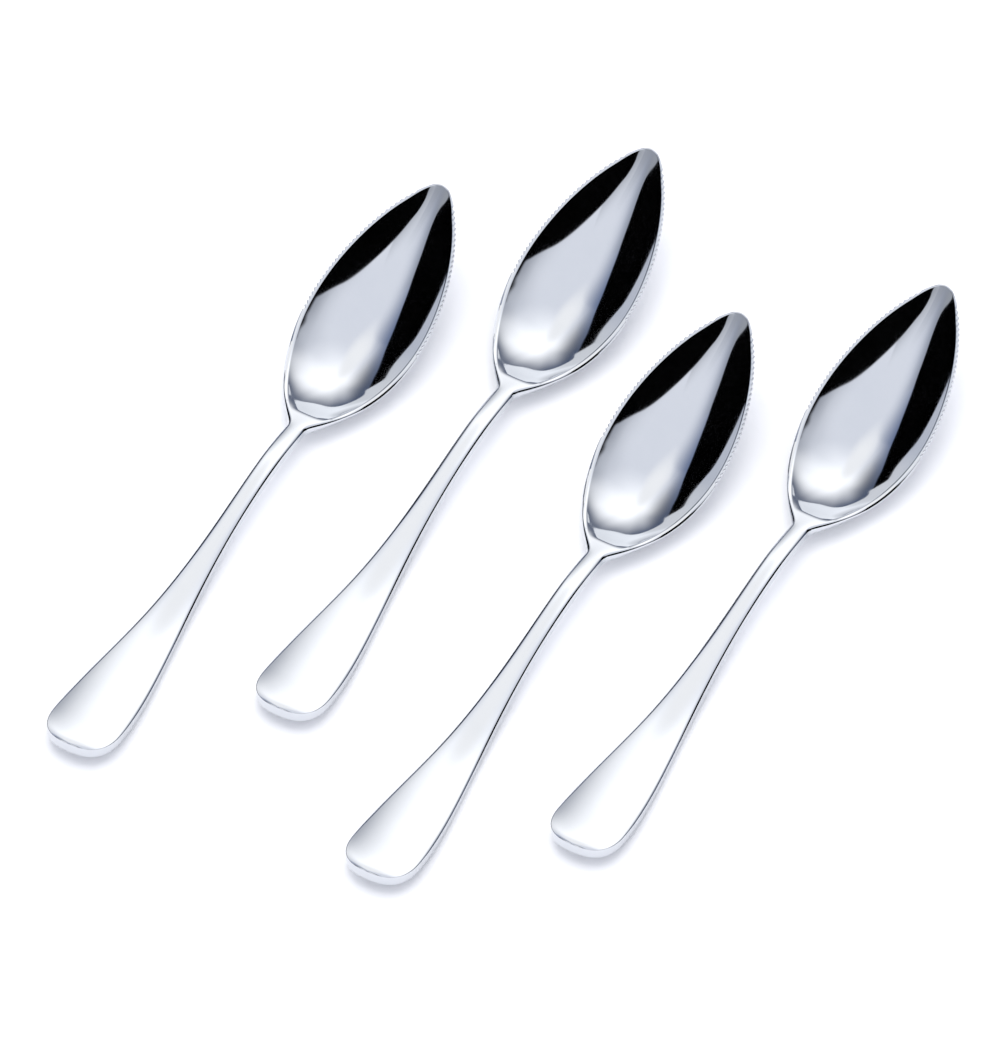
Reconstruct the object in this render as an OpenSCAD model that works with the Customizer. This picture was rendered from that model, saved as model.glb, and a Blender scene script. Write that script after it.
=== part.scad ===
// Set of four grapefruit spoons. Each is stamped in one piece from steel strip:
// a slim handle with a broad rounded end, a narrow neck and a pointed bowl
// with a row of small teeth along both edges ahead of its widest point.
// A spoon lies along +Y, rounded end first and tip last, on the table at z = 0.

/* [Handle] */
// Length from the rounded end to the back of the bowl
handle_len = 96.7; // [85:0.1:120]
// Width across the broad end
handle_w = 15.6; // [10:0.1:20]
// Length over which the end rounds off
end_round_len = 9; // [6:0.1:14]
// Thickness at the handle's edges
handle_edge_t = 2.5; // [1.4:0.1:3.4]
// Rise of the top face from its edges to its middle
handle_crown = 0.3; // [0.1:0.05:0.6]
// Swell of the underside from its edges to its middle
handle_belly = 0.3; // [0.1:0.05:0.6]
// Bevel that softens the handle's edges
edge_bevel = 0.6; // [0.1:0.05:0.6]

/* [Neck] */
// Width of the neck
neck_w = 3.7; // [3:0.1:6]
// Thickness at the neck's edges
neck_edge_t = 2.6; // [1.4:0.1:3.4]
// Straight stretch of neck behind the bowl
neck_len = 13.3; // [6:0.1:24]
// Length behind the bowl's back where the neck starts to thin
thin_back_len = 4; // [1:0.5:6]
// Length ahead of the bowl's back where the thinning ends
thin_ahead_len = 10; // [4:0.5:14]

/* [Bowl] */
// Length from the back of the bowl to its tip
bowl_len = 63.3; // [58:0.1:72]
// Width across the widest point
bowl_w = 27.4; // [22:0.1:34]
// Length from the back of the bowl to its widest point
bowl_back_len = 31.4; // [24:0.1:36]
// Length from the back of the bowl to its deepest point
bowl_deep_len = 33.6; // [24:0.1:40]
// Level ledge between the back of the bowl and the start of its hollow
ledge_len = 4.2; // [2:0.1:7]
// Length over which the hollow's flat back turns into the round bowl
flat_back_len = 13.8; // [6:0.1:20]
// Depth of the hollow below the rim at the deepest point
bowl_depth = 5.5; // [4:0.1:8]
// Thickness at the bottom of the bowl
bowl_wall = 1.5; // [0.8:0.05:2]
// Thickness of the rim's edge
rim_t = 0.9; // [0.6:0.05:1.4]
// Width of the flat on top of the rim
rim_w = 0.65; // [0.6:0.05:1.1]

/* [Side profile] */
// Rise of the rounded end above the handle's lowest point
end_lift = 3; // [0:0.1:8]
// Distance from the rounded end to the handle's lowest point
low_from_end = 35.7; // [20:0.1:50]
// Rise of the neck's crest above the lowest point of the bowl's rim
crest_lift = 2.5; // [0:0.1:5]
// Distance from the neck's crest to the back of the bowl
crest_to_bowl = 11.4; // [6:0.1:24]
// Distance from the back of the bowl to the lowest point of its rim
rim_low_ahead = 11.7; // [4:0.1:16]
// Rise of the rim from its lowest point to the tip
tip_lift = 13.3; // [4:0.1:16]

/* [Teeth] */
// Distance from one tooth to the next
tooth_pitch = 1.05; // [1:0.05:2.5]
// Depth of the notches between the teeth
tooth_depth = 0.4; // [0.2:0.05:0.5]
// Length of the toothed stretch, measured along the spoon
toothed_len = 32.6; // [20:0.1:38]
// Plain rim between the last tooth and the tip
tip_plain_len = 3; // [2:0.5:8]

/* [Layout] */
// Clear width between the first and second spoon
gap_1_2 = 5.8; // [1:0.1:60]
// Clear width between the second and third spoon
gap_2_3 = 10.2; // [1:0.1:60]
// Clear width between the third and fourth spoon
gap_3_4 = 6.2; // [1:0.1:60]
// How far the second spoon lies ahead of the first
second_ahead = 29.5; // [0:0.1:80]
// How far the third spoon lies ahead of the first
third_ahead = 0; // [0:0.1:80]
// How far the fourth spoon lies ahead of the first
fourth_ahead = 27; // [0:0.1:80]

/* [Hidden] */

// Powers that shape the curves: 2 and 0.5 would make an ellipse
end_power = 2.6;
taper_power = 1.465;
bowl_back_powers = [2.07, 0.846];
bowl_front_powers = [1.82, 0.683];
depth_back_powers = [2.23, 1.2];
depth_front_powers = [2, 1];
shoulder_power = 4;
round_power = 1.92;
flat_power = 4;

// Where the rounded end and the tip stop, as shares of their full curves
end_stop_share = 0.994;
tip_stop_share = 0.988;
// Length of the bend where the rim turns up towards the tip, as a share of its rise
tip_bend_share = 0.25;
// Bevel on the rim, as a share of the rim's thickness
rim_bevel_share = 0.28;
// Most of the rim's flat that the bevel may take, as a share of its width
corner_limit_share = 0.8;
// Places across half of a section, as shares of its half width
across_shares = [0, 0.36, 0.7];

// Spacing of sections along a stretch: even, or crowded towards its start
even_power = 1;
crowded_power = 2;
// Numbers of sections along each stretch
end_steps = 6;
taper_steps = 7;
neck_steps = 3;
bowl_back_steps = 9;
tip_steps = 5;
tooth_count = floor(toothed_len / tooth_pitch);

// Places along the spoon
neck_y = handle_len - neck_len;
back_y = handle_len;
wide_y = back_y + bowl_back_len;
deep_y = back_y + bowl_deep_len;
tip_y = back_y + bowl_len;
crest_y = back_y - crest_to_bowl;
rim_low_y = back_y + rim_low_ahead;
last_tooth_y = tip_y - tip_plain_len;
first_tooth_y = last_tooth_y - tooth_count * tooth_pitch;

// Plain curves
function clamp(u) = min(1, max(0, u));
function ease(u) = let (c = clamp(u)) c * c * (3 - 2 * c);
function mix(a, b, u) = a + (b - a) * u;
function rounding(u, powers) = pow(max(0, 1 - pow(clamp(u), powers[0])), powers[1]);

// Half width of the handle: a rounded end, an S-shaped taper and the neck, fading out in the bowl
function end_curve(y) = rounding((1 - y / end_round_len) * end_stop_share, [end_power, 1 / end_power]);
function taper(y) = ease(pow(clamp((neck_y - y) / (neck_y - end_round_len)), taper_power));
function fade(y) = 1 - ease((y - back_y) / bowl_back_len);
function handle_half(y) = mix(neck_w, handle_w, taper(y)) / 2 * end_curve(y) * fade(y);

// Half width of the bowl: round at the back, drawn to a point at the front
function bowl_round(y) = y < wide_y
    ? rounding((wide_y - y) / bowl_back_len, bowl_back_powers)
    : rounding((y - wide_y) / (tip_y - wide_y) * tip_stop_share, bowl_front_powers);
function bowl_half(y) = bowl_w / 2 * bowl_round(y);

// Half width of the whole spoon, with a fillet where the neck opens into the bowl
function half_w(y) =
    let (stem = pow(handle_half(y), shoulder_power), bowl = pow(bowl_half(y), shoulder_power))
    pow(stem + bowl, 1 / shoulder_power);

// Change from the solid neck to the thin bowl: 0 on the neck, 1 in the bowl
function thinning(y) = ease((y - back_y + thin_back_len) / (thin_back_len + thin_ahead_len));
function stem_edge_t(y) = mix(neck_edge_t, handle_edge_t, taper(y));
function stem_middle_t(y) = stem_edge_t(y) + handle_crown + handle_belly;
function edge_t(y) = mix(stem_edge_t(y), rim_t, thinning(y));
function middle_t(y) = mix(stem_middle_t(y), bowl_wall, thinning(y));
function bevel(y) = mix(edge_bevel, rim_t * rim_bevel_share, thinning(y));

// Drop of the middle of the top face below its edges: below zero where it is crowned
function deep_round(y) = y < deep_y
    ? rounding((deep_y - y) / (bowl_deep_len - ledge_len), depth_back_powers)
    : rounding((y - deep_y) / (tip_y - deep_y) * tip_stop_share, depth_front_powers);
function hollow(y) = bowl_depth * deep_round(y) - handle_crown * (1 - thinning(y));
// Drop of the middle of the underside below its edges
function belly(y) = hollow(y) + middle_t(y) - edge_t(y);
// Power of the curve across a section: flat across the back of the hollow, round elsewhere
function flat_back(y) = thinning(y) * (1 - ease((y - back_y - ledge_len) / flat_back_len));
function cross_power(y) = mix(round_power, flat_power, flat_back(y));

// Rise of the bowl's rim above its lowest point: a bend that runs on as a nearly straight slope
function bend(u) = sqrt(u * u + tip_bend_share * tip_bend_share) - tip_bend_share;
function rim_rise(y) = tip_lift * bend(clamp((y - rim_low_y) / (tip_y - rim_low_y))) / bend(1);

// Sections along the spoon, each a place along it and the depth cut away by a notch
function spread(from, to, steps, power) = [
    for (i = [1 : steps]) [mix(from, to, pow(i / steps, power)), 0]
];
end_sections = [for (i = [0 : end_steps]) [end_round_len * (1 - cos(90 * i / end_steps)), 0]];
tooth_sections = [
    for (i = [1 : 2 * tooth_count])
        [first_tooth_y + tooth_pitch * i / 2, i % 2 == 1 ? tooth_depth : 0]
];
tip_sections = [
    for (i = [1 : tip_steps]) [last_tooth_y + tip_plain_len * sin(90 * i / tip_steps), 0]
];
sections = concat(
    end_sections,
    spread(end_round_len, neck_y, taper_steps, even_power),
    spread(neck_y, back_y, neck_steps, even_power),
    spread(back_y, first_tooth_y, bowl_back_steps, crowded_power),
    tooth_sections,
    tip_sections);

// Heights above the table: the handle rests on it at its lowest point, the bowl on its bottom
rim_low_z = max([
    for (s = sections) if (s[0] > rim_low_y) edge_t(s[0]) + belly(s[0]) - rim_rise(s[0])
]);
crest_z = rim_low_z + crest_lift;
crest_under_z = crest_z - stem_edge_t(crest_y) - handle_belly;
function stem_under_z(y) = y < low_from_end
    ? end_lift * pow(1 - y / low_from_end, 2)
    : crest_under_z * ease((y - low_from_end) / (crest_y - low_from_end));
function edge_z(y) =
    y < crest_y ? stem_under_z(y) + handle_belly + stem_edge_t(y)
    : y < rim_low_y ? mix(crest_z, rim_low_z, ease((y - crest_y) / (rim_low_y - crest_y)))
    : rim_low_z + rim_rise(y);

// Right half of a section, from the middle of its top face round to the middle of its underside
function half_section(y, notch) =
    let (
        half = half_w(y),
        top = edge_z(y),
        bottom = top - edge_t(y),
        power = cross_power(y),
        inner = max(half - rim_w, half / 2),
        outer = half - notch,
        corner = min(bevel(y), (outer - inner) * corner_limit_share))
    concat(
        [for (u = across_shares) [inner * u, top - hollow(y) * (1 - pow(u, power))]],
        [
            [inner, top],
            [outer - corner, top],
            [outer, top - corner],
            [outer, bottom + corner],
            [outer - corner, bottom]
        ],
        [
            for (i = [len(across_shares) - 1 : -1 : 0])
                let (u = across_shares[i])
                [inner * u, bottom - belly(y) * (1 - pow(u, power))]
        ]);

// Closed loop of points round a section: the right half, then the left half back to the start
function loop(section) =
    let (
        y = section[0],
        right = half_section(y, section[1]),
        last = len(right) - 1)
    concat(
        [for (p = right) [p[0], y, p[1]]],
        [for (i = [last - 1 : -1 : 1]) [-right[i][0], y, right[i][1]]]);

// Skin of triangles over a row of loops, closed with a flat face at each end
function skin_faces(rows, around) = concat(
    [[for (j = [0 : around - 1]) j]],
    [
        for (i = [0 : rows - 2], j = [0 : around - 1])
            let (a = i * around + j, b = i * around + (j + 1) % around)
            each [[a, b + around, b], [a, a + around, b + around]]
    ],
    [[for (j = [around - 1 : -1 : 0]) (rows - 1) * around + j]]);

// Places of the four spoons on the table, with the middle of the set at the origin
spoon_w = max(bowl_w, handle_w);
spoon_x = [
    0,
    spoon_w + gap_1_2,
    2 * spoon_w + gap_1_2 + gap_2_3,
    3 * spoon_w + gap_1_2 + gap_2_3 + gap_3_4
];
spoon_y = [0, second_ahead, third_ahead, fourth_ahead];
set_middle = [spoon_x[3] / 2, (tip_y + max(spoon_y)) / 2];

// One spoon, with the middle of its rounded end at the origin
module spoon() {
    loops = [for (s = sections) loop(s)];
    polyhedron(
        points = [for (l = loops) each l],
        faces = skin_faces(len(loops), len(loops[0])),
        convexity = 4);
}

// A spoon in its place in the set
module placed_spoon(i) {
    translate([spoon_x[i] - set_middle[0], spoon_y[i] - set_middle[1], 0])
        spoon();
}

module spoon_1() {
    color("gainsboro") placed_spoon(0);
}

module spoon_2() {
    color("gainsboro") placed_spoon(1);
}

module spoon_3() {
    color("gainsboro") placed_spoon(2);
}

module spoon_4() {
    color("gainsboro") placed_spoon(3);
}

spoon_1();
spoon_2();
spoon_3();
spoon_4();
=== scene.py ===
"""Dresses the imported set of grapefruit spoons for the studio.

Every spoon is lofted again as a fine mesh from the same curves as its solid, a node
tree notches its rim, and it gets a mirror-polished steel finish. The spoons lie on a
white table among dark flags and dim walls, under two softboxes.
"""

import logging
import math
from dataclasses import dataclass, field
from enum import Enum

import bmesh
import bpy
import numpy as np
from mathutils import Matrix, Vector


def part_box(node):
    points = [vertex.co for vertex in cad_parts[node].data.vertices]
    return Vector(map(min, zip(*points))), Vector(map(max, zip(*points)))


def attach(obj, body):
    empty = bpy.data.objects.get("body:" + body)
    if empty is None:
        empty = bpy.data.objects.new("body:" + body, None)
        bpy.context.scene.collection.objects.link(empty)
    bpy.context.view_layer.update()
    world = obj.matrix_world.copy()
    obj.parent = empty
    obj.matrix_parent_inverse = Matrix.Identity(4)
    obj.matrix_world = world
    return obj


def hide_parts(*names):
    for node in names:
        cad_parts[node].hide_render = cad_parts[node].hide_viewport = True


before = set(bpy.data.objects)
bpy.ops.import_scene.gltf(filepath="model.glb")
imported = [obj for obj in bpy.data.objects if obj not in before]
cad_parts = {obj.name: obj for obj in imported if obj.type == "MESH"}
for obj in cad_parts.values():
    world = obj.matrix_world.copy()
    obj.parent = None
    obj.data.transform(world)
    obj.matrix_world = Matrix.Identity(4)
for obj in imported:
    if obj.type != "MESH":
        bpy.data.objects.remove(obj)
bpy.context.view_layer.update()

log = logging.getLogger("spoons")

MM = 0.001
SRGB_KNEE, SRGB_SLOPE, SRGB_OFFSET, SRGB_POWER = 0.04045, 12.92, 0.055, 2.4
QUARTER_CIRCLE = (2.0, 0.5)
Array = np.ndarray
Outline = tuple[tuple[float, float], ...]
# Lower outline of a panel that reaches the ground all round.
GROUND: Outline = ((-180, -90), (180, -90))


def linear(hex_colour: str) -> tuple[float, float, float, float]:
    """Turns an sRGB hex colour into linear RGBA.

    Args:
        hex_colour: Six hex digits, with or without a leading hash.

    Returns:
        Linear red, green and blue with an alpha of one.
    """
    digits = hex_colour.lstrip("#")
    channels = [int(digits[i:i + 2], 16) / 255 for i in (0, 2, 4)]
    light = [
        c / SRGB_SLOPE if c <= SRGB_KNEE else ((c + SRGB_OFFSET) / (1 + SRGB_OFFSET)) ** SRGB_POWER
        for c in channels]
    return (*light, 1.0)


def dimmed(tint: str, level: float) -> tuple[float, float, float, float]:
    """Colour of a tint at a level of light.

    Args:
        tint: The hex colour at full light.
        level: The light's strength, one for full.

    Returns:
        Linear RGBA.
    """
    red, green, blue, alpha = linear(tint)
    return red * level, green * level, blue * level, alpha


def add_node(tree: bpy.types.NodeTree, kind: str, inputs: dict | None = None, **settings) -> bpy.types.Node:
    """Adds a node to a tree, sets it and links it.

    Args:
        tree: The tree that gets the node.
        kind: The node's type name.
        inputs: Values or output sockets by input name or index.
        **settings: Attributes of the node itself.

    Returns:
        The new node.
    """
    node = tree.nodes.new(kind)
    for name, value in settings.items():
        setattr(node, name, value)
    for key, value in (inputs or {}).items():
        socket = node.inputs[key]
        if isinstance(value, bpy.types.NodeSocket):
            tree.links.new(value, socket)
        else:
            socket.default_value = value
    return node


def clamp(u: Array) -> Array:
    """Holds a share between nought and one."""
    return np.clip(u, 0.0, 1.0)


def ease(u: Array) -> Array:
    """Smooth step from nought to one."""
    c = clamp(u)
    return c * c * (3 - 2 * c)


def mix(a: float | Array, b: float | Array, u: Array) -> Array:
    """Blends from a to b by the share u."""
    return a + (b - a) * u


def rounding(u: Array, powers: tuple[float, float]) -> Array:
    """Curve that falls from one to nought, shaped by two powers."""
    return np.maximum(0.0, 1 - clamp(u) ** powers[0]) ** powers[1]


def compass(azimuth: float, elevation: float) -> Vector:
    """Unit vector towards a place in the studio.

    Args:
        azimuth: Degrees from the way the spoons point, towards the fourth spoon.
        elevation: Degrees above the table.

    Returns:
        The direction in the part's frame.
    """
    a, e = math.radians(azimuth), math.radians(elevation)
    return Vector((math.sin(a) * math.cos(e), math.cos(a) * math.cos(e), math.sin(e)))


@dataclass(frozen=True)
class SpoonShape:
    """Sizes of one spoon in millimetres, with the curves that they give.

    A spoon lies along +Y from its rounded handle end at y = 0 to its tip. Names that end in
    _len run along it, _w across it and _t through the steel. Powers and shares shape its curves,
    and every curve takes places y along the spoon.
    """

    handle_len: float = 96.7
    handle_w: float = 15.8
    end_round_len: float = 9.0
    handle_edge_t: float = 2.5
    handle_crown: float = 0.85
    neck_crown: float = 0.1
    handle_belly: float = 0.3
    edge_round: float = 1.4
    edge_turn: float = 46.0
    end_edge_round: float = 0.12
    end_edge_len: float = 18.0
    under_round: float = 0.35
    neck_w: float = 3.95
    neck_edge_t: float = 2.6
    neck_len: float = 13.3
    thin_back_len: float = 4.0
    thin_ahead_len: float = 10.0
    bowl_len: float = 63.3
    bowl_w: float = 27.4
    bowl_back_len: float = 31.4
    bowl_deep_len: float = 34.6
    ledge_len: float = 4.72
    bowl_depth: float = 5.44
    waist_from: float = 7.0
    waist_len: float = 10.8
    front_from: float = 21.5
    front_len: float = 9.7
    bowl_wall: float = 1.5
    rim_t: float = 0.9
    bevel_from: float = 8.0
    bevel_len: float = 6.0
    rim_w: float = 0.9
    rim_round: float = 0.3
    toothed_rim_w: float = 0.8
    toothed_rim_round: float = 0.15
    end_lift: float = 3.0
    low_from_end: float = 35.7
    crest_lift: float = 2.5
    crest_to_bowl: float = 11.4
    rim_low_ahead: float = 11.7
    tip_lift: float = 13.3
    tip_cap_len: float = 0.5
    tip_rim_w: float = 0.3
    tip_rim_len: float = 6.0
    tooth_pitch: float = 1.05
    tooth_depth: float = 0.38
    toothed_len: float = 32.6
    tip_plain_len: float = 3.0
    end_power: float = 2.6
    taper_power: float = 1.465
    shoulder_power: float = 3.2
    handle_power: float = 2.0
    back_power: float = 3.06
    waist_power: float = 1.6
    front_power: float = 1.99
    round_share: float = 0.2
    tip_bend_share: float = 0.25
    tip_stop_share: float = 0.988
    depth_stop_share: float = 0.978
    run_out_power: float = 8.0
    bowl_back_powers: tuple[float, float] = (2.07, 0.846)
    bowl_front_powers: tuple[float, float] = (1.82, 0.683)
    depth_back_powers: tuple[float, float] = (2.22, 1.09)
    depth_front_powers: tuple[float, float] = (2.0, 1.0)
    rest_samples: int = 2000

    @property
    def neck_y(self) -> float:
        """Where the taper of the handle ends."""
        return self.handle_len - self.neck_len

    @property
    def wide_y(self) -> float:
        """Widest point of the bowl."""
        return self.handle_len + self.bowl_back_len

    @property
    def deep_y(self) -> float:
        """Deepest point of the hollow."""
        return self.handle_len + self.bowl_deep_len

    @property
    def tip_y(self) -> float:
        """Tip of the bowl."""
        return self.handle_len + self.bowl_len

    @property
    def crest_y(self) -> float:
        """Crest of the neck."""
        return self.handle_len - self.crest_to_bowl

    @property
    def rim_low_y(self) -> float:
        """Lowest point of the bowl's rim."""
        return self.handle_len + self.rim_low_ahead

    @property
    def tooth_count(self) -> int:
        """Number of whole teeth along one edge."""
        return math.floor(self.toothed_len / self.tooth_pitch)

    @property
    def last_tooth_y(self) -> float:
        """Front end of the toothed stretch."""
        return self.tip_y - self.tip_plain_len

    @property
    def first_tooth_y(self) -> float:
        """Back end of the toothed stretch."""
        return self.last_tooth_y - self.tooth_count * self.tooth_pitch

    def taper(self, y: Array) -> Array:
        """Change from the neck's size, nought, to the handle end's, one."""
        return ease(clamp((self.neck_y - y) / (self.neck_y - self.end_round_len)) ** self.taper_power)

    def end_curve(self, y: Array) -> Array:
        """Rounding of the handle's end."""
        return rounding(1 - y / self.end_round_len, (self.end_power, 1 / self.end_power))

    def handle_half(self, y: Array) -> Array:
        """Half width of the handle, which fades out inside the bowl."""
        fade = 1 - ease((y - self.handle_len) / self.bowl_back_len)
        return mix(self.neck_w, self.handle_w, self.taper(y)) / 2 * self.end_curve(y) * fade

    def bowl_half(self, y: Array) -> Array:
        """Half width of the bowl, round behind and drawn to a rounded tip."""
        back = rounding((self.wide_y - y) / self.bowl_back_len, self.bowl_back_powers)
        front = rounding(
            (y - self.wide_y) / (self.tip_y - self.wide_y) * self.tip_stop_share, self.bowl_front_powers)
        cap = rounding((y - self.tip_y + self.tip_cap_len) / self.tip_cap_len, QUARTER_CIRCLE)
        return self.bowl_w / 2 * np.where(y < self.wide_y, back, front) * cap

    def half_w(self, y: Array) -> Array:
        """Half width of the whole spoon, filleted where the neck opens into the bowl."""
        p = self.shoulder_power
        return (self.handle_half(y) ** p + self.bowl_half(y) ** p) ** (1 / p)

    def thinning(self, y: Array) -> Array:
        """Change from the solid neck, nought, to the thin bowl, one."""
        return ease((y - self.handle_len + self.thin_back_len) / (self.thin_back_len + self.thin_ahead_len))

    def stem_edge_t(self, y: Array) -> Array:
        """Thickness at the edges of the handle and neck."""
        return mix(self.neck_edge_t, self.handle_edge_t, self.taper(y))

    def edge_t(self, y: Array) -> Array:
        """Thickness at the edge, all along the spoon."""
        return mix(self.stem_edge_t(y), self.rim_t, self.thinning(y))

    def toothed(self, y: Array) -> Array:
        """Change from the plain rim, nought, to the finer toothed one, one."""
        return ease((y - self.first_tooth_y + self.thin_ahead_len) / self.thin_ahead_len)

    def edge_radius(self, y: Array) -> Array:
        """Radius that softens the top edge."""
        handle = mix(self.end_edge_round, self.edge_round, ease(y / self.end_edge_len))
        rim = mix(self.rim_round, self.toothed_rim_round, self.toothed(y))
        return mix(handle, rim, self.thinning(y))

    def bevelled(self, y: Array) -> Array:
        """Change from a rounded top edge, nought, to the plain rim's bevel, one."""
        return ease((y - self.handle_len - self.bevel_from) / self.bevel_len) * (1 - self.toothed(y))

    def edge_start(self, y: Array) -> Array:
        """Slope of the crowned face where the top edge's rounding starts, in radians."""
        flank = np.maximum(self.half_w(y) - self.edge_radius(y), self.edge_radius(y))
        return np.arctan(self.crown(y) * self.handle_power / flank) * (1 - self.thinning(y))

    def edge_stop(self, y: Array) -> Array:
        """Slope where the top edge's rounding meets the side, in radians."""
        return mix(math.radians(self.edge_turn), math.pi / 2, self.thinning(y))

    def under_radius(self, y: Array) -> Array:
        """Radius that softens the lower edge."""
        return np.minimum(self.under_round, self.edge_radius(y))

    def edge_inset(self, y: Array) -> Array:
        """Width between the outline and the crowned or hollowed face."""
        rim = mix(self.rim_w, self.toothed_rim_w, self.toothed(y))
        rim = mix(rim, self.tip_rim_w, ease((y - self.tip_y) / self.tip_rim_len + 1))
        arc = self.edge_radius(y) * (np.sin(self.edge_stop(y)) - np.sin(self.edge_start(y)))
        return mix(arc, rim, self.thinning(y))

    def section(self, y: Array, u: Array) -> Array:
        """Rise across a section, from nought in its middle to one at its edge.

        Args:
            y: Places along the spoon.
            u: Shares of the half width.

        Returns:
            The rise: full behind, drawn in at the bowl's waist and round ahead of it.
        """
        ahead = y - self.handle_len
        power = mix(self.handle_power, self.back_power, self.thinning(y))
        power = mix(power, self.waist_power, ease((ahead - self.waist_from) / self.waist_len))
        power = mix(power, self.front_power, ease((ahead - self.front_from) / self.front_len))
        c = self.round_share
        return ((u * u + c * c) ** (power / 2) - c ** power) / ((1 + c * c) ** (power / 2) - c ** power)

    def crown(self, y: Array) -> Array:
        """Rise of the handle's middle above its edges."""
        return mix(self.neck_crown, self.handle_crown, self.taper(y)) * self.end_curve(y)

    def hollow(self, y: Array) -> Array:
        """Drop of the top face's middle below its edges, negative where it is crowned."""
        back = rounding((self.deep_y - y) / (self.bowl_deep_len - self.ledge_len), self.depth_back_powers)
        u = clamp((y - self.deep_y) / (self.tip_y - self.tip_rim_w - self.deep_y))
        front, left = (rounding(v * self.depth_stop_share, self.depth_front_powers) for v in (u, 1.0))
        depth = self.bowl_depth * np.where(y < self.deep_y, back, front - left * u ** self.run_out_power)
        return depth - self.crown(y) * (1 - self.thinning(y))

    def belly(self, y: Array) -> Array:
        """Drop of the underside's middle below its edges."""
        stem = self.stem_edge_t(y) + self.crown(y) + self.handle_belly
        return self.hollow(y) + mix(stem, self.bowl_wall, self.thinning(y)) - self.edge_t(y)

    def rim_rise(self, y: Array) -> Array:
        """Rise of the rim from its lowest point, a bend that runs on as a straight slope."""
        u, c = clamp((y - self.rim_low_y) / (self.tip_y - self.rim_low_y)), self.tip_bend_share
        return self.tip_lift * (np.sqrt(u * u + c * c) - c) / (math.sqrt(1 + c * c) - c)

    @property
    def rim_low_z(self) -> float:
        """Height of the rim's lowest point when the bowl's bottom rests on the table."""
        y = np.linspace(self.rim_low_y, self.tip_y, self.rest_samples)
        return float(np.max(self.edge_t(y) + self.belly(y) - self.rim_rise(y)))

    def edge_z(self, y: Array) -> Array:
        """Height of the top face's edge above the table."""
        low, crest = self.rim_low_z, self.rim_low_z + self.crest_lift
        crest_under = crest - self.stem_edge_t(self.crest_y) - self.handle_belly
        under = np.where(
            y < self.low_from_end,
            self.end_lift * (1 - y / self.low_from_end) ** 2,
            crest_under * ease((y - self.low_from_end) / (self.crest_y - self.low_from_end)))
        fall = mix(crest, low, ease((y - self.crest_y) / (self.rim_low_y - self.crest_y)))
        return np.where(
            y < self.crest_y,
            under + self.handle_belly + self.stem_edge_t(y),
            np.where(y < self.rim_low_y, fall, low + self.rim_rise(y)))


@dataclass(frozen=True)
class PolishedSteel:
    """Stainless steel, stamped and buffed to a mirror.

    It gives the eye clear reflections with a cool cast, faint buffing lines along the
    spoon and a little haze where hands and cloths have touched it.
    """

    name: str = "polished stainless steel"
    bright: str = "#D8DADE"
    shade: str = "#D1D4D9"
    mirror_roughness: float = 0.035
    hazy_roughness: float = 0.07
    line_width_mm: float = 0.35
    line_len_mm: float = 14.0
    line_height_mm: float = 0.0004
    line_strength: float = 0.2
    line_detail: float = 2.0
    line_grain: float = 0.5
    line_share: float = 0.4
    haze_mm: float = 9.0
    haze_detail: float = 4.0
    haze_grain: float = 0.6
    noise_low: float = 0.35
    noise_high: float = 0.7

    def material(self) -> bpy.types.Material:
        """Builds the finish.

        Returns:
            The new material.
        """
        steel = bpy.data.materials.new(self.name)
        steel.use_nodes = True
        tree = steel.node_tree
        tree.nodes.clear()
        place = add_node(tree, "ShaderNodeTexCoord").outputs["Object"]
        across, along = 1 / (self.line_width_mm * MM), 1 / (self.line_len_mm * MM)
        stretched = add_node(
            tree, "ShaderNodeMapping", {"Vector": place, "Scale": (across, along, across)})
        lines = add_node(
            tree, "ShaderNodeTexNoise",
            {"Vector": stretched.outputs["Vector"], "Scale": 1.0, "Detail": self.line_detail,
             "Roughness": self.line_grain})
        haze = add_node(
            tree, "ShaderNodeTexNoise",
            {"Vector": place, "Scale": 1 / (self.haze_mm * MM), "Detail": self.haze_detail,
             "Roughness": self.haze_grain})
        blend = add_node(
            tree, "ShaderNodeMix",
            {"Factor": self.line_share, "A": haze.outputs["Fac"], "B": lines.outputs["Fac"]},
            data_type="FLOAT")
        roughness = add_node(
            tree, "ShaderNodeMapRange",
            {"Value": blend.outputs["Result"], "From Min": self.noise_low, "From Max": self.noise_high,
             "To Min": self.mirror_roughness, "To Max": self.hazy_roughness})
        colour = add_node(
            tree, "ShaderNodeMix",
            {"Factor": haze.outputs["Fac"], "A": linear(self.bright), "B": linear(self.shade)},
            data_type="RGBA")
        bump = add_node(
            tree, "ShaderNodeBump",
            {"Height": lines.outputs["Fac"], "Strength": self.line_strength,
             "Distance": self.line_height_mm * MM})
        shader = add_node(
            tree, "ShaderNodeBsdfPrincipled",
            {"Base Color": colour.outputs["Result"], "Metallic": 1.0,
             "Roughness": roughness.outputs["Result"], "Normal": bump.outputs["Normal"]})
        add_node(tree, "ShaderNodeOutputMaterial", {"Surface": shader.outputs["BSDF"]})
        return steel


@dataclass(frozen=True)
class WhiteBoard:
    """Matt white table board: pale and even, it holds a soft shadow."""

    name: str = "matt white board"
    colour: str = "#FCFCFD"
    roughness: float = 0.9

    def material(self) -> bpy.types.Material:
        """Builds the finish.

        Returns:
            The new material.
        """
        board = bpy.data.materials.new(self.name)
        board.use_nodes = True
        tree = board.node_tree
        tree.nodes.clear()
        shader = add_node(
            tree, "ShaderNodeBsdfPrincipled",
            {"Base Color": linear(self.colour), "Roughness": self.roughness, "Specular IOR Level": 0.0})
        add_node(tree, "ShaderNodeOutputMaterial", {"Surface": shader.outputs["BSDF"]})
        return board


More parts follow.
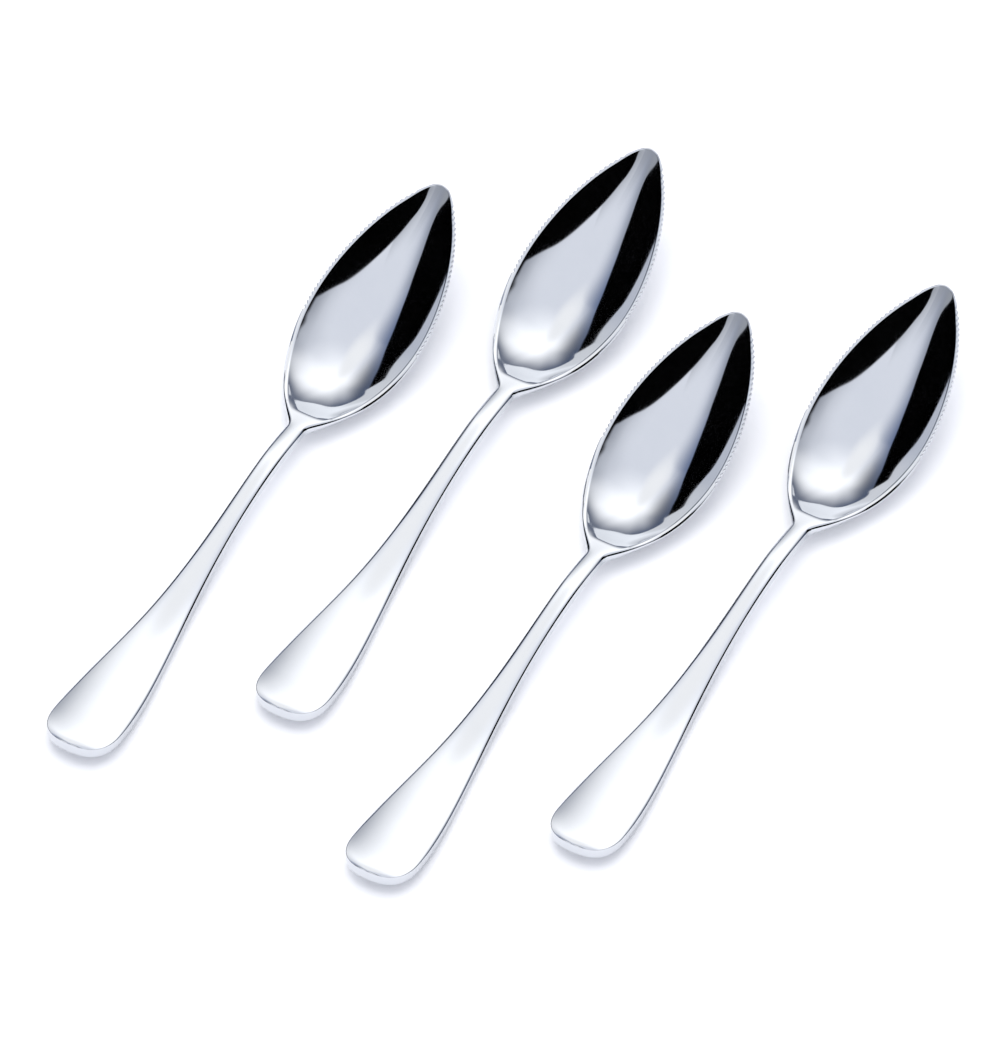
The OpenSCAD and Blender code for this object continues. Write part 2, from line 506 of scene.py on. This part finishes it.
@dataclass
class SerratedRim:
    """Node tree that cuts the notches between the teeth into a plain rim."""

    shape: SpoonShape
    name: str = "serrated rim"
    notch_share: float = 0.5

    def tree(self) -> bpy.types.NodeTree:
        """Builds the tree.

        Returns:
            A geometry tree with the teeth's sizes, the spoon's place and its finish as inputs.
        """
        tree = bpy.data.node_groups.new(self.name, "GeometryNodeTree")
        sockets = tree.interface
        sockets.new_socket("Blank", in_out="INPUT", socket_type="NodeSocketGeometry")
        for label in ("Pitch", "Depth", "First tooth", "Last tooth"):
            sockets.new_socket(label, in_out="INPUT", socket_type="NodeSocketFloat")
        sockets.new_socket("Place", in_out="INPUT", socket_type="NodeSocketVector")
        sockets.new_socket("Steel", in_out="INPUT", socket_type="NodeSocketMaterial")
        sockets.new_socket("Spoon", in_out="OUTPUT", socket_type="NodeSocketGeometry")
        size = add_node(tree, "NodeGroupInput").outputs
        along = add_node(tree, "GeometryNodeInputNamedAttribute", {"Name": "along"}, data_type="FLOAT")
        share = add_node(tree, "GeometryNodeInputNamedAttribute", {"Name": "edge_share"}, data_type="FLOAT")
        outward = add_node(
            tree, "GeometryNodeInputNamedAttribute", {"Name": "edge_out"}, data_type="FLOAT_VECTOR")
        y = along.outputs["Attribute"]
        ahead = add_node(tree, "ShaderNodeMath", {0: y, 1: size["First tooth"]}, operation="SUBTRACT")
        teeth = add_node(
            tree, "ShaderNodeMath", {0: ahead.outputs[0], 1: size["Pitch"]}, operation="DIVIDE")
        notch = add_node(
            tree, "ShaderNodeMath", {0: teeth.outputs[0], 1: self.notch_share}, operation="PINGPONG")
        from_first = add_node(
            tree, "ShaderNodeMath", {0: y, 1: size["First tooth"]}, operation="GREATER_THAN")
        to_last = add_node(tree, "ShaderNodeMath", {0: y, 1: size["Last tooth"]}, operation="LESS_THAN")
        cut = add_node(
            tree, "ShaderNodeMath", {0: size["Depth"], 1: -1 / self.notch_share}, operation="MULTIPLY")
        for factor in (notch, from_first, to_last, share):
            cut = add_node(
                tree, "ShaderNodeMath", {0: cut.outputs[0], 1: factor.outputs[0]}, operation="MULTIPLY")
        offset = add_node(
            tree, "ShaderNodeVectorMath",
            {0: outward.outputs["Attribute"], "Scale": cut.outputs[0]}, operation="SCALE")
        cut_rim = add_node(
            tree, "GeometryNodeSetPosition",
            {"Geometry": size["Blank"], "Offset": offset.outputs["Vector"]})
        placed = add_node(
            tree, "GeometryNodeTransform",
            {"Geometry": cut_rim.outputs["Geometry"], "Translation": size["Place"]})
        real = add_node(tree, "GeometryNodeRealizeInstances", {"Geometry": placed.outputs["Geometry"]})
        dressed = add_node(
            tree, "GeometryNodeSetMaterial",
            {"Geometry": real.outputs["Geometry"], "Material": size["Steel"]})
        add_node(tree, "NodeGroupOutput", {"Spoon": dressed.outputs["Geometry"]})
        return tree

    def sizes(self, place: Vector, steel: bpy.types.Material) -> dict[str, object]:
        """Values of the tree's named inputs for one spoon.

        Args:
            place: The spoon's place on the table, in metres.
            steel: The finish.

        Returns:
            Input values by name, lengths in metres.
        """
        return {
            "Pitch": self.shape.tooth_pitch * MM,
            "Depth": self.shape.tooth_depth * MM,
            "First tooth": self.shape.first_tooth_y * MM,
            "Last tooth": self.shape.last_tooth_y * MM,
            "Place": place,
            "Steel": steel,
        }


@dataclass
class SpoonBlank:
    """Fine mesh of a spoon whose rim has no teeth yet, in its own frame."""

    shape: SpoonShape
    handle_step: float = 0.8
    bowl_step: float = 0.5
    tip_step: float = 0.1
    tooth_steps: int = 6
    top_shares: tuple[float, ...] = tuple(1 - np.linspace(1, 0, 30) ** 1.6)
    under_shares: tuple[float, ...] = tuple(np.linspace(0.95, 0.0, 16))
    crease_w: float = 0.25
    toothed_crease_w: float = 0.12
    crease_steps: int = 5
    round_steps: int = 7
    end_samples: int = 4000
    end_crowding: int = 4
    side_samples: int = 20000

    def outline(self) -> tuple[Array, Array]:
        """Right-hand edge, from the middle of the handle's end to the tip.

        Returns:
            Points in the table's plane and the outward directions there, in millimetres.
        """
        s = self.shape
        crowded = np.linspace(0, 1, self.end_samples) ** self.end_crowding
        fine_y = np.unique(np.concatenate([
            s.end_round_len * crowded,
            np.linspace(s.end_round_len, s.tip_y - s.tip_cap_len, self.side_samples),
            s.tip_y - s.tip_cap_len * crowded]))
        fine_x = s.half_w(fine_y)
        arc = np.concatenate([[0], np.cumsum(np.hypot(np.diff(fine_x), np.diff(fine_y)))])
        tangent = np.stack([np.gradient(fine_x, arc), np.gradient(fine_y, arc)], 1)
        tangent /= np.linalg.norm(tangent, axis=1, keepdims=True)
        tangent[0], tangent[-1] = (1, 0), (-1, 0)

        def at(y: float) -> float:
            """Length of the edge from the handle's end to y."""
            return float(np.interp(y, fine_y, arc))

        spans = [
            (0.0, at(s.neck_y), self.handle_step),
            (at(s.neck_y), at(s.first_tooth_y), self.bowl_step),
        ]
        stops = [np.linspace(a, b, max(2, round((b - a) / step)), endpoint=False) for a, b, step in spans]
        tooth_step = s.tooth_pitch / self.tooth_steps
        teeth = s.first_tooth_y + tooth_step * np.arange(s.tooth_count * self.tooth_steps)
        stops.append(np.interp(teeth, fine_y, arc))
        a, b = at(s.last_tooth_y), arc[-1]
        stops.append(np.linspace(a, b, round((b - a) / self.tip_step)))
        stops = np.concatenate(stops)
        points = np.stack([np.interp(stops, arc, fine_x), np.interp(stops, arc, fine_y)], 1)
        points[0, 0] = points[-1, 0] = 0.0
        way = np.stack([np.interp(stops, arc, tangent[:, 0]), np.interp(stops, arc, tangent[:, 1])], 1)
        way /= np.linalg.norm(way, axis=1, keepdims=True)
        return points, np.stack([way[:, 1], -way[:, 0]], 1)

    def half_rings(self) -> tuple[Array, Array, Array, Array]:
        """Right half of every section, from the top face's middle round to the underside's.

        Returns:
            Points, shares that follow the notches, outward directions and places along the edge.
        """
        s = self.shape
        edge, out = self.outline()
        along = edge[:, 1]
        radius, width, lower = s.edge_radius(along), s.edge_inset(along), s.under_radius(along)
        columns, shares = [], []

        def inset(depth: Array) -> Array:
            """Moves the outline inwards, without crossing the middle."""
            p = edge - depth[:, None] * out
            return np.stack([np.maximum(p[:, 0], 0.0), np.clip(p[:, 1], 0.0, s.tip_y)], 1)

        inner, under = inset(width), inset(lower)

        def put(p: Array, z: Array, share: float) -> None:
            """Keeps one column of points along the spoon."""
            columns.append(np.column_stack([p, z]))
            shares.append(share)

        def face(u: Array) -> tuple[Array, Array]:
            """Points of the top face at a share of its half width."""
            y = inner[:, 1]
            return np.stack([inner[:, 0] * u, y], 1), s.edge_z(y) - s.hollow(y) * (1 - s.section(y, u))

        crease = mix(self.crease_w, self.toothed_crease_w, s.toothed(along))
        # A section without width, at either end of the spoon, closes in one point.
        soft = (1 - crease / np.maximum(inner[:, 0], crease * 2)) * (inner[:, 0] > 0)
        for u in self.top_shares:
            put(*face(soft * u), 0.0)
        from_p, from_z = face(soft)
        turn_p, turn_z = inner, s.edge_z(inner[:, 1])
        start, stop = s.edge_start(along), s.edge_stop(along)
        to_p = inset(np.maximum(width - crease, radius * (np.sin(stop) - np.sin(start))))
        to_z = s.edge_z(to_p[:, 1])
        for t in np.linspace(0, 1, self.crease_steps)[1:]:
            a, b, c = (1 - t) ** 2, 2 * t * (1 - t), t * t
            put(from_p * a + turn_p * b + to_p * c, from_z * a + turn_z * b + to_z * c, 0.0)
        bevel = s.bevelled(along)
        for t in np.linspace(0, 1, self.round_steps):
            turn = mix(start, stop, t)
            p = inset(radius * mix(np.sin(stop) - np.sin(turn), 1 - t, bevel))
            put(p, s.edge_z(along) - radius * mix(np.cos(start) - np.cos(turn), t, bevel), 1.0)
        bottom = s.edge_z(along) - s.edge_t(along)
        for turn in np.linspace(np.pi / 2, 0, self.round_steps):
            p = inset(lower * (1 - np.sin(turn)))
            put(p, bottom + lower * (1 - np.cos(turn)), 1.0)
        y, wide = under[:, 1], under[:, 0] > 0
        for u in self.under_shares:
            z = s.edge_z(y) - s.edge_t(y) - s.belly(y) * (1 - s.section(y, u * wide))
            put(np.stack([under[:, 0] * u, y], 1), z, 0.0)
        return np.stack(columns, 1), np.array(shares), out, along

    def mesh(self) -> bpy.types.Mesh:
        """Builds the blank with the attributes that the node tree reads.

        Returns:
            A closed mesh in metres.
        """
        right, shares, out, along = self.half_rings()
        rows, last = right.shape[0], right.shape[1] - 1
        flip = np.array([-1.0, 1.0, 1.0])
        points = np.concatenate([right, right[:, last - 1:0:-1] * flip], 1)
        ring = points.shape[1]
        share = np.concatenate([shares, shares[last - 1:0:-1]])
        side = np.concatenate([np.ones(last + 1), -np.ones(last - 1)])
        out_x = out[:, :1] * side[None, :]
        out_y = np.repeat(out[:, 1:], ring, 1)
        a = np.arange(rows - 1)[:, None] * ring + np.arange(ring)[None, :]
        b = np.arange(rows - 1)[:, None] * ring + (np.arange(ring)[None, :] + 1) % ring
        faces = np.stack([a, a + ring, b + ring, b], -1).reshape(-1, 4)
        mesh = bpy.data.meshes.new("blank")
        mesh.from_pydata((points.reshape(-1, 3) * MM).tolist(), [], faces.tolist())
        values = {
            "along": ("FLOAT", "value", np.repeat(along, ring) * MM),
            "edge_share": ("FLOAT", "value", np.tile(share, rows)),
            "edge_out": ("FLOAT_VECTOR", "vector", np.stack([out_x, out_y, out_y * 0], -1).ravel()),
        }
        for name, (kind, key, data) in values.items():
            mesh.attributes.new(name, kind, "POINT").data.foreach_set(key, data.astype(np.float32))
        return mesh


class Place(Enum):
    """The spoons of the set by the way they lie, with node and body."""

    FIRST = ("spoon_1", "first_spoon")
    SECOND = ("spoon_2", "second_spoon")
    THIRD = ("spoon_3", "third_spoon")
    FOURTH = ("spoon_4", "fourth_spoon")

    @property
    def node(self) -> str:
        """Name of the spoon's solid."""
        return self.value[0]

    @property
    def body(self) -> str:
        """Name of the body that carries it."""
        return self.value[1]


@dataclass
class Spoon:
    """One polished spoon that stands for its solid."""

    place: Place
    slot: str = "polished_steel"
    weld_dist: float = 1e-7
    sliver_dist: float = 1e-8
    crisp_angle: float = 34.0

    def origin(self) -> Vector:
        """Middle of the solid's rounded end on the table."""
        low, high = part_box(self.place.node)
        return Vector(((low.x + high.x) / 2, low.y, 0.0))

    def build(self, blank: bpy.types.Mesh, rim: SerratedRim, tree: bpy.types.NodeTree,
              steel: bpy.types.Material) -> bpy.types.Object:
        """Cuts the teeth, puts the spoon in its place and dresses it.

        Args:
            blank: The plain-edged mesh.
            rim: The teeth's sizes.
            tree: The node tree that cuts them.
            steel: The finish.

        Returns:
            The finished piece, riding on its body.
        """
        rough = bpy.data.objects.new("rough", blank)
        bpy.context.scene.collection.objects.link(rough)
        nodes = rough.modifiers.new("teeth", "NODES")
        nodes.node_group = tree
        wanted = rim.sizes(self.origin(), steel)
        for item in tree.interface.items_tree:
            if item.in_out == "INPUT" and item.name in wanted:
                nodes[item.identifier] = wanted[item.name]
        bpy.context.view_layer.update()
        evaluated = rough.evaluated_get(bpy.context.evaluated_depsgraph_get())
        mesh = bpy.data.meshes.new_from_object(evaluated)
        bpy.data.objects.remove(rough)
        self.close(mesh)
        piece = bpy.data.objects.new(f"polished_{self.place.node}", mesh)
        bpy.context.scene.collection.objects.link(piece)
        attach(piece, self.place.body)
        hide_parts(self.place.node)
        log.info("%s: %d faces on %s", piece.name, len(mesh.polygons), self.place.body)
        return piece

    def close(self, mesh: bpy.types.Mesh) -> None:
        """Joins the seams at both ends and keeps the teeth crisp.

        Args:
            mesh: The toothed mesh of one spoon.
        """
        made = bmesh.new()
        made.from_mesh(mesh)
        bmesh.ops.remove_doubles(made, verts=made.verts, dist=self.weld_dist)
        bmesh.ops.dissolve_degenerate(made, edges=made.edges, dist=self.sliver_dist)
        bmesh.ops.recalc_face_normals(made, faces=made.faces)
        made.to_mesh(mesh)
        made.free()
        mesh.polygons.foreach_set("use_smooth", [True] * len(mesh.polygons))
        mesh.set_sharp_from_angle(angle=math.radians(self.crisp_angle))
        mesh.update()


@dataclass(frozen=True)
class Sight:
    """Sockets that tell which way a mirrored ray looks.

    Way is its direction and height that direction's Z. Turn is its azimuth as a share of the
    full circle, and rise its elevation as a share of the way from nadir to zenith.
    """

    way: bpy.types.NodeSocket
    height: bpy.types.NodeSocket
    turn: bpy.types.NodeSocket
    rise: bpy.types.NodeSocket

    @classmethod
    def add(cls, tree: bpy.types.NodeTree) -> "Sight":
        """Adds the nodes that measure a ray's direction.

        Args:
            tree: The world's tree.

        Returns:
            The sockets of the measures.
        """
        way = add_node(tree, "ShaderNodeTexCoord").outputs["Generated"]
        side = add_node(tree, "ShaderNodeSeparateXYZ", {0: way}).outputs
        angle = add_node(tree, "ShaderNodeMath", {0: side["X"], 1: side["Y"]}, operation="ARCTAN2")
        lift = add_node(tree, "ShaderNodeMath", {0: side["Z"]}, operation="ARCSINE")
        turn, rise = (
            add_node(
                tree, "ShaderNodeMath", {0: node.outputs[0], 1: 1 / full, 2: 0.5}, operation="MULTIPLY_ADD")
            for node, full in ((angle, math.tau), (lift, math.pi)))
        return cls(way, side["Z"], turn.outputs[0], rise.outputs[0])


@dataclass(frozen=True)
class Softbox:
    """Round softbox with an even middle that fades out, angles in degrees."""

    name: str
    centre: tuple[float, float]
    even: float
    faded: float
    level: float
    tint: str = "#FFFFFF"

    def mask(self, tree: bpy.types.NodeTree, sight: Sight) -> bpy.types.NodeSocket:
        """Adds the nodes that tell how much of the softbox a ray sees.

        Args:
            tree: The world's tree.
            sight: The way the ray looks.

        Returns:
            The share seen, from nought to one.
        """
        facing = add_node(
            tree, "ShaderNodeVectorMath", {0: sight.way, 1: compass(*self.centre)},
            operation="DOT_PRODUCT")
        return add_node(
            tree, "ShaderNodeMapRange",
            {"Value": facing.outputs["Value"], "From Min": math.cos(math.radians(self.faded)),
             "From Max": math.cos(math.radians(self.even))},
            interpolation_type="SMOOTHSTEP").outputs[0]


@dataclass(frozen=True)
class Panel:
    """Wall or flag, as the spoons see it round the table.

    Its upper and lower outlines are rows of azimuth and elevation in degrees. Softness is
    the width of the blurred edge in degrees, and level is the light that comes from it.
    """

    name: str
    upper: Outline
    lower: Outline
    softness: float
    level: float = 0.0
    tint: str = "#FFFFFF"

    def outline(self, tree: bpy.types.NodeTree, sight: Sight, rows: Outline) -> bpy.types.NodeSocket:
        """Adds the curve of one outline.

        Args:
            tree: The world's tree.
            sight: The way the ray looks.
            rows: The outline's corners.

        Returns:
            The outline's elevation at the ray's azimuth, as a share of the way from nadir to zenith.
        """
        node = add_node(tree, "ShaderNodeFloatCurve", {"Value": sight.turn}, label=self.name)
        points = node.mapping.curves[0].points
        corners = [((azimuth + 180) / 360, (elevation + 90) / 180) for azimuth, elevation in rows]
        corners = [(0.0, corners[0][1]), *corners, (1.0, corners[-1][1])]
        while len(points) < len(corners):
            points.new(0.5, 0.5)
        for point, corner in zip(points, corners):
            point.location = corner
            point.handle_type = "AUTO_CLAMPED"
        node.mapping.update()
        return node.outputs["Value"]

    def mask(self, tree: bpy.types.NodeTree, sight: Sight) -> bpy.types.NodeSocket:
        """Adds the nodes that tell how much of the panel a ray sees.

        Args:
            tree: The world's tree.
            sight: The way the ray looks.

        Returns:
            The share seen, from nought to one.
        """
        soft = self.softness / 360
        upper, lower = (self.outline(tree, sight, rows) for rows in (self.upper, self.lower))
        sides = []
        for high, low in ((upper, sight.rise), (sight.rise, lower)):
            inside = add_node(tree, "ShaderNodeMath", {0: high, 1: low}, operation="SUBTRACT")
            sides.append(add_node(
                tree, "ShaderNodeMapRange",
                {"Value": inside.outputs[0], "From Min": -soft, "From Max": soft},
                interpolation_type="SMOOTHSTEP").outputs[0])
        both = add_node(tree, "ShaderNodeMath", {0: sides[0], 1: sides[1]}, operation="MULTIPLY")
        return both.outputs[0]


@dataclass
class Studio:
    """Table, light and camera."""

    azimuth: float = 29.004
    elevation: float = 50.506
    px_per_mm: float = 4.8256
    frame_px: tuple[int, int] = (1000, 1046)
    origin_px: tuple[float, float] = (510.27, 547.42)
    camera_far: float = 1.5
    camera_reach: float = 10.0
    table_half: float = 3.0
    backdrop: str = "#FFFFFF"
    dome_level: float = 1.15
    dome_tint: str = "#F3F6FF"
    key_level: float = 0.3
    key_tint: str = "#FFFBF2"
    key_from: tuple[float, float] = (-50.0, 81.0)
    key_spread: float = 45.0
    sky_tint: str = "#F4F7FF"
    sky_levels: tuple[tuple[float, float], ...] = (
        (0, 0.40), (14, 0.10), (24, 0.30), (34, 0.58), (46, 1.0), (60, 1.08), (75, 1.08))
    panels: tuple[Softbox | Panel, ...] = (
        Softbox("north softbox", (-8, 32), 1.0, 45.0, 1.8),
        Softbox("top softbox", (-41, 62), 3.0, 20.0, 1.25),
        Panel(
            "west wall",
            ((-95, 53), (-80, 54), (-70, 45), (-60, 29), (-50, 12), (-40, 16), (-30, 12), (-20, 0)),
            GROUND, 37.0, 0.39, "#B4CCFF"),
        Panel(
            "north skirting",
            ((-50, 16), (-30, 27), (-15, 26), (0, 30), (15, 29), (30, 23), (50, 33)),
            GROUND, 45.0, 0.18, "#B4CCFF"),
        Panel(
            "south wall",
            ((-180, 59), (-160, 58), (-146, 53), (-130, 50), (-114, 49), (-100, 47), (-92, -90),
             (122, -90), (134, 60), (180, 59)),
            GROUND, 26.0, 0.48, "#F0F5FF"),
        Panel(
            "south board",
            ((-180, 18), (-112, 18), (-102, -90), (125, -90), (135, 18), (180, 18)),
            GROUND, 12.0, 1.15, "#FFFDF8"),
        Panel(
            "east flag",
            ((40, -90), (44, 22), (50, 40.5), (58, 40.7), (68, 38.2), (76, 36.7), (81, 39.2), (87, 43.6),
             (95, 49.8), (104, 54), (114, 56.9), (126, 59), (137, 59.6), (150, 57.8), (157.5, 55.5),
             (161, -90)),
            ((131, -90), (134, 34.6), (142, 36), (148, 43.8), (154, 50.6), (160, 54.3)),
            1.6),
        Panel(
            "west flag",
            ((-125.5, -90), (-122.3, 46.3), (-116.6, 48.2), (-106, 48.3), (-95, 46.3), (-85, 43.5),
             (-77, 39.6), (-70, 35.4), (-63, 27.5), (-58, 19.5), (-51.6, 11.6), (-45, 3), (-42, -90)),
            ((-121.5, 43), (-121, 40.6), (-116, 33.3), (-111, 24.2), (-107, 15.8), (-103.7, 11.7),
             (-100, -90)),
            1.6),
    )

    def camera(self) -> None:
        """Sets a parallel camera at the photograph's angle and framing."""
        a, e = math.radians(self.azimuth), math.radians(self.elevation)
        right = Vector((math.cos(a), math.sin(a), 0.0))
        back = Vector((math.sin(a) * math.cos(e), -math.cos(a) * math.cos(e), math.sin(e)))
        up = back.cross(right)
        shift_x = (self.frame_px[0] / 2 - self.origin_px[0]) / self.px_per_mm * MM
        shift_y = (self.origin_px[1] - self.frame_px[1] / 2) / self.px_per_mm * MM
        aim = right * shift_x + up * shift_y
        lens = bpy.data.cameras.new("camera")
        lens.type = "ORTHO"
        lens.ortho_scale = max(self.frame_px) / self.px_per_mm * MM
        lens.clip_end = self.camera_reach
        eye = bpy.data.objects.new("camera", lens)
        turn = Matrix((right, up, back)).transposed().to_4x4()
        eye.matrix_world = Matrix.Translation(aim + back * self.camera_far) @ turn
        bpy.context.scene.collection.objects.link(eye)
        bpy.context.scene.camera = eye

    def table(self, board: bpy.types.Material) -> None:
        """Lays the table board.

        Args:
            board: Its finish.
        """
        r = self.table_half
        mesh = bpy.data.meshes.new("table")
        mesh.from_pydata([(-r, -r, 0), (r, -r, 0), (r, r, 0), (-r, r, 0)], [], [(0, 1, 2, 3)])
        mesh.materials.append(board)
        table = bpy.data.objects.new("table", mesh)
        bpy.context.scene.collection.objects.link(table)

    def key_light(self) -> None:
        """Hangs the key light that throws the soft shadows."""
        lamp = bpy.data.lights.new("key", "SUN")
        lamp.angle = math.radians(self.key_spread)
        lamp.energy = self.key_level * math.pi / math.sin(math.radians(self.key_from[1]))
        lamp.color = linear(self.key_tint)[:3]
        key = bpy.data.objects.new("key", lamp)
        key.rotation_euler = compass(*self.key_from).to_track_quat("Z", "Y").to_euler()
        key.visible_glossy = False
        bpy.context.scene.collection.objects.link(key)

    def sky(self, tree: bpy.types.NodeTree, sight: Sight) -> bpy.types.NodeSocket:
        """Adds the open sky behind the panels, which changes with elevation.

        Args:
            tree: The world's tree.
            sight: The way the ray looks.

        Returns:
            The sky's colour.
        """
        ramp = add_node(tree, "ShaderNodeValToRGB", {"Fac": sight.height})
        stops = ramp.color_ramp.elements
        while len(stops) < len(self.sky_levels):
            stops.new(0.5)
        for stop, (degrees, level) in zip(stops, self.sky_levels):
            stop.position = math.sin(math.radians(degrees))
            stop.color = dimmed(self.sky_tint, level)
        return ramp.outputs["Color"]

    def world(self) -> None:
        """Builds the light round the table: plain for the board, sky and panels for the steel."""
        room = bpy.data.worlds.new("studio")
        room.use_nodes = True
        bpy.context.scene.world = room
        tree = room.node_tree
        tree.nodes.clear()
        sight = Sight.add(tree)
        colour = self.sky(tree, sight)
        for panel in self.panels:
            light = dimmed(panel.tint, panel.level)
            colour = add_node(
                tree, "ShaderNodeMix", {"Factor": panel.mask(tree, sight), "A": colour, "B": light},
                data_type="RGBA", label=panel.name).outputs["Result"]
        path = add_node(tree, "ShaderNodeLightPath").outputs
        plain = add_node(
            tree, "ShaderNodeBackground", {"Color": linear(self.dome_tint), "Strength": self.dome_level})
        white = add_node(tree, "ShaderNodeBackground", {"Color": linear(self.backdrop)})
        mirror = add_node(tree, "ShaderNodeBackground", {"Color": colour})
        seen = add_node(
            tree, "ShaderNodeMixShader",
            {0: path["Is Camera Ray"], 1: plain.outputs[0], 2: white.outputs[0]})
        all_light = add_node(
            tree, "ShaderNodeMixShader",
            {0: path["Is Glossy Ray"], 1: seen.outputs[0], 2: mirror.outputs[0]})
        add_node(tree, "ShaderNodeOutputWorld", {"Surface": all_light.outputs[0]})

    def build(self) -> None:
        """Puts the studio together."""
        self.camera()
        self.table(WhiteBoard().material())
        self.key_light()
        self.world()
        bpy.context.scene.view_settings.view_transform = "Standard"
        log.info("studio: %d panels round the table", len(self.panels))


@dataclass
class SpoonSet:
    """The four loose spoons."""

    shape: SpoonShape = field(default_factory=SpoonShape)

    def build(self) -> None:
        """Makes every spoon from one blank, one tree and one finish."""
        steel = PolishedSteel().material()
        rim = SerratedRim(self.shape)
        tree = rim.tree()
        blank = SpoonBlank(self.shape).mesh()
        for place in Place:
            Spoon(place).build(blank, rim, tree, steel)
        bpy.data.meshes.remove(blank)
        bpy.data.node_groups.remove(tree)


def main() -> None:
    """Builds the studio and the spoons."""
    logging.basicConfig(level=logging.INFO, format="%(name)s: %(message)s")
    Studio().build()
    SpoonSet().build()


if __name__ == "__main__":
    main()
